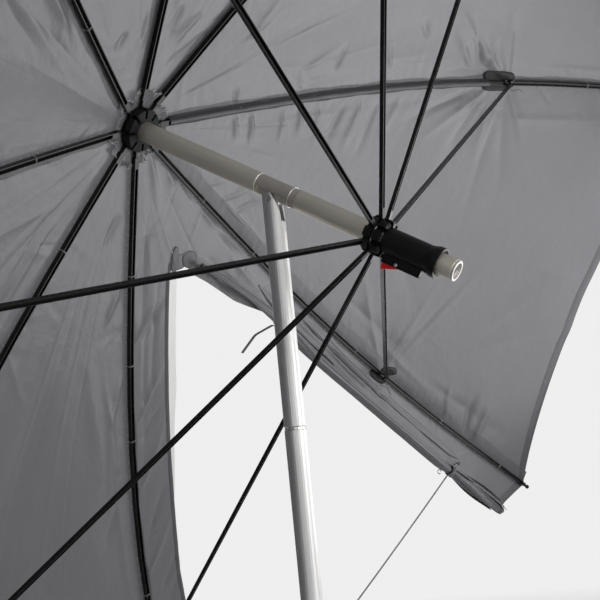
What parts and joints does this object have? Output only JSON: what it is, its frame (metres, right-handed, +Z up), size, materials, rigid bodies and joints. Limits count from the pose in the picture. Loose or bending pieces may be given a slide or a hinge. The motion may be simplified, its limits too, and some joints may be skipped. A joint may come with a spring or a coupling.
{
  "type": "fishing umbrella",
  "caption": "Open fishing umbrella with a rolled-up doorway in its canopy, curved folding ribs, a short shaft that tilts on a pin, and a telescopic pole that ends in a ground spike.",
  "frame": {"origin": "on the pole's axis at ground level, under the spike's flange", "axes": "+Z up the pole; the shaft tilts in the XZ plane with its hub on the +X side; Y is the tilt pin's direction"},
  "size_m": [1.1853, 2.2308, 2.2704],
  "materials": {
    "satin_tube": "satin anodised",
    "pole_tube": "bright drawn",
    "brushed_insert": "brushed",
    "nickel": "bright nickel plate",
    "steel": "zinc plated",
    "black_steel": "black powder coat",
    "black_plastic": "fine matt mould texture",
    "red_plastic": "satin",
    "canopy_cloth": "coated woven polyester",
    "dark_tape": "woven tape",
    "grey_cord": "braided cord"
  },
  "bodies": {
    "ground_end": {"ground_spike": "steel", "inner_pole_tube": "satin_tube"},
    "pole": {"pole_tube": "pole_tube", "pole_socket": "nickel", "leg_stud": "nickel", "tilt_leg": "pole_tube", "tilt_pin": "steel", "clamp_collar": "black_plastic"},
    "clamp_screw": {"clamp_screw": "black_plastic"},
    "shaft": {"shaft_upper_tube": "satin_tube", "shaft_lower_tube": "satin_tube", "tilt_insert": "brushed_insert", "shaft_end_socket": "nickel", "hub": "black_plastic", "hub_wire": "steel", "top_cap": "black_plastic"},
    "rib_1": {"rib_1": "black_steel", "canopy_gore_1": "canopy_cloth"},
    "rib_2": {"rib_2": "black_steel", "canopy_gore_2": "canopy_cloth"},
    "rib_3": {"rib_3": "black_steel", "canopy_gore_3": "canopy_cloth"},
    "rib_4": {"rib_4": "black_steel", "canopy_gore_4": "canopy_cloth"},
    "rib_5": {"rib_5": "black_steel", "canopy_gore_5": "canopy_cloth", "door_roll": "canopy_cloth", "door_tie_1": "dark_tape", "door_tie_2": "dark_tape", "doorway_cord": "grey_cord"},
    "rib_6": {"rib_6": "black_steel", "canopy_gore_6": "canopy_cloth"},
    "rib_7": {"rib_7": "black_steel", "canopy_gore_7": "canopy_cloth"},
    "rib_8": {"rib_8": "black_steel", "canopy_gore_8": "canopy_cloth"},
    "stretcher_1": {"stretcher_1": "black_steel"},
    "stretcher_2": {"stretcher_2": "black_steel"},
    "stretcher_3": {"stretcher_3": "black_steel"},
    "stretcher_4": {"stretcher_4": "black_steel"},
    "stretcher_5": {"stretcher_5": "black_steel"},
    "stretcher_6": {"stretcher_6": "black_steel"},
    "stretcher_7": {"stretcher_7": "black_steel"},
    "stretcher_8": {"stretcher_8": "black_steel"},
    "runner": {"runner": "black_plastic", "runner_wire": "steel", "trigger_pin": "steel"},
    "trigger": {"trigger": "red_plastic"}
  },
  "joints": [
    {"name": "pole_slide", "type": "slide", "parent": "ground_end", "child": "pole", "axis": [0, 0, 1], "range_m": [-0.16, 0.14]},
    {"name": "clamp_turn", "type": "hinge", "parent": "pole", "child": "clamp_screw", "pos_m": [0.0288, 0, 0.481], "axis": [0, 1, 0], "range_deg": [-180, 180]},
    {"name": "tilt", "type": "hinge", "parent": "pole", "child": "shaft", "pos_m": [0, 0, 1.186], "axis": [0, -1, 0], "range_deg": [-31.7, 26]},
    {"name": "rib_1_fold", "type": "hinge", "parent": "shaft", "child": "rib_1", "pos_m": [0.1723, 0.02158, 1.31886], "axis": [-0.4725, -0.4374, 0.7651], "range_deg": [0, 68], "deforming": ["canopy_gore_1"]},
    {"name": "rib_2_fold", "type": "hinge", "parent": "shaft", "child": "rib_2", "pos_m": [0.16621, 0.00937, 1.32873], "axis": [-0.2051, -0.9206, 0.3322], "range_deg": [0, 69], "deforming": ["canopy_gore_2"]},
    {"name": "rib_3_fold", "type": "hinge", "parent": "shaft", "child": "rib_3", "pos_m": [0.16608, -0.00878, 1.32893], "axis": [0.1922, -0.9307, -0.3113], "range_deg": [0, 69], "deforming": ["canopy_gore_3"]},
    {"name": "rib_4_fold", "type": "hinge", "parent": "shaft", "child": "rib_4", "pos_m": [0.17305, -0.02222, 1.31764], "axis": [0.4865, -0.3778, -0.7877], "range_deg": [0, 69], "deforming": ["canopy_gore_4"]},
    {"name": "rib_5_fold", "type": "hinge", "parent": "shaft", "child": "rib_5", "pos_m": [0.18199, -0.02265, 1.30318], "axis": [0.4959, 0.3305, -0.803], "range_deg": [0, 69], "deforming": ["canopy_gore_5", "door_roll", "door_tie_1", "door_tie_2", "doorway_cord"]},
    {"name": "rib_6_fold", "type": "hinge", "parent": "shaft", "child": "rib_6", "pos_m": [0.18937, -0.00963, 1.29123], "axis": [0.2109, 0.9159, -0.3414], "range_deg": [0, 69], "deforming": ["canopy_gore_6"]},
    {"name": "rib_7_fold", "type": "hinge", "parent": "shaft", "child": "rib_7", "pos_m": [0.18941, 0.00947, 1.29117], "axis": [-0.2074, 0.9188, 0.3359], "range_deg": [0, 69], "deforming": ["canopy_gore_7"]},
    {"name": "rib_8_fold", "type": "hinge", "parent": "shaft", "child": "rib_8", "pos_m": [0.18234, 0.0224, 1.30261], "axis": [-0.4905, 0.3585, 0.7942], "range_deg": [0, 69], "deforming": ["canopy_gore_8"]},
    {"name": "stretcher_1_turn", "type": "hinge", "parent": "rib_1", "child": "stretcher_1", "pos_m": [-0.14405, 0.71085, 1.51755], "axis": [0.4725, 0.4374, -0.7651], "range_deg": [0, 134.8]},
    {"name": "stretcher_2_turn", "type": "hinge", "parent": "rib_2", "child": "stretcher_2", "pos_m": [-0.34477, 0.30861, 1.84254], "axis": [0.2051, 0.9206, -0.3322], "range_deg": [0, 134.8]},
    {"name": "stretcher_3_turn", "type": "hinge", "parent": "rib_3", "child": "stretcher_3", "pos_m": [-0.34893, -0.2892, 1.84929], "axis": [-0.1922, 0.9307, 0.3113], "range_deg": [0, 134.8]},
    {"name": "stretcher_4_turn", "type": "hinge", "parent": "rib_4", "child": "stretcher_4", "pos_m": [-0.1193, -0.73189, 1.47748], "axis": [-0.4865, 0.3778, 0.7877], "range_deg": [0, 134.8]},
    {"name": "stretcher_5_turn", "type": "hinge", "parent": "rib_5", "child": "stretcher_5", "pos_m": [0.17494, -0.74606, 1.00107], "axis": [-0.4959, -0.3305, 0.803], "range_deg": [0, 134.8]},
    {"name": "stretcher_6_turn", "type": "hinge", "parent": "rib_6", "child": "stretcher_6", "pos_m": [0.41811, -0.31723, 0.60733], "axis": [-0.2109, -0.9159, 0.3414], "range_deg": [0, 134.8]},
    {"name": "stretcher_7_turn", "type": "hinge", "parent": "rib_7", "child": "stretcher_7", "pos_m": [0.41929, 0.31204, 0.60542], "axis": [0.2074, -0.9188, -0.3359], "range_deg": [0, 134.8]},
    {"name": "stretcher_8_turn", "type": "hinge", "parent": "rib_8", "child": "stretcher_8", "pos_m": [0.18657, 0.73794, 0.98222], "axis": [0.4905, -0.3585, -0.7942], "range_deg": [0, 134.8]},
    {"name": "runner_slide", "type": "slide", "parent": "shaft", "child": "runner", "axis": [-0.8508, 0, -0.5255], "range_m": [0, 1.2]},
    {"name": "trigger_press", "type": "hinge", "parent": "runner", "child": "trigger", "pos_m": [-0.14466, 0, 1.08549], "axis": [0, -1, 0], "range_deg": [0, 8], "stiffness_Nm_per_rad": 0.5, "springref_deg": -8.59}
  ],
  "couplings": [
    {"joint": "rib_2_fold", "follows": "rib_1_fold", "ratio": 1},
    {"joint": "rib_3_fold", "follows": "rib_1_fold", "ratio": 1},
    {"joint": "rib_4_fold", "follows": "rib_1_fold", "ratio": 1},
    {"joint": "rib_5_fold", "follows": "rib_1_fold", "ratio": 1},
    {"joint": "rib_6_fold", "follows": "rib_1_fold", "ratio": 1},
    {"joint": "rib_7_fold", "follows": "rib_1_fold", "ratio": 1},
    {"joint": "rib_8_fold", "follows": "rib_1_fold", "ratio": 1},
    {"joint": "stretcher_1_turn", "follows": "rib_1_fold", "ratio": 1.9678},
    {"joint": "stretcher_2_turn", "follows": "rib_1_fold", "ratio": 1.9678},
    {"joint": "stretcher_3_turn", "follows": "rib_1_fold", "ratio": 1.9678},
    {"joint": "stretcher_4_turn", "follows": "rib_1_fold", "ratio": 1.9678},
    {"joint": "stretcher_5_turn", "follows": "rib_1_fold", "ratio": 1.9678},
    {"joint": "stretcher_6_turn", "follows": "rib_1_fold", "ratio": 1.9678},
    {"joint": "stretcher_7_turn", "follows": "rib_1_fold", "ratio": 1.9678},
    {"joint": "stretcher_8_turn", "follows": "rib_1_fold", "ratio": 1.9678},
    {"joint": "runner_slide", "follows": "rib_1_fold", "m_per_rad": 1.0096}
  ]
}
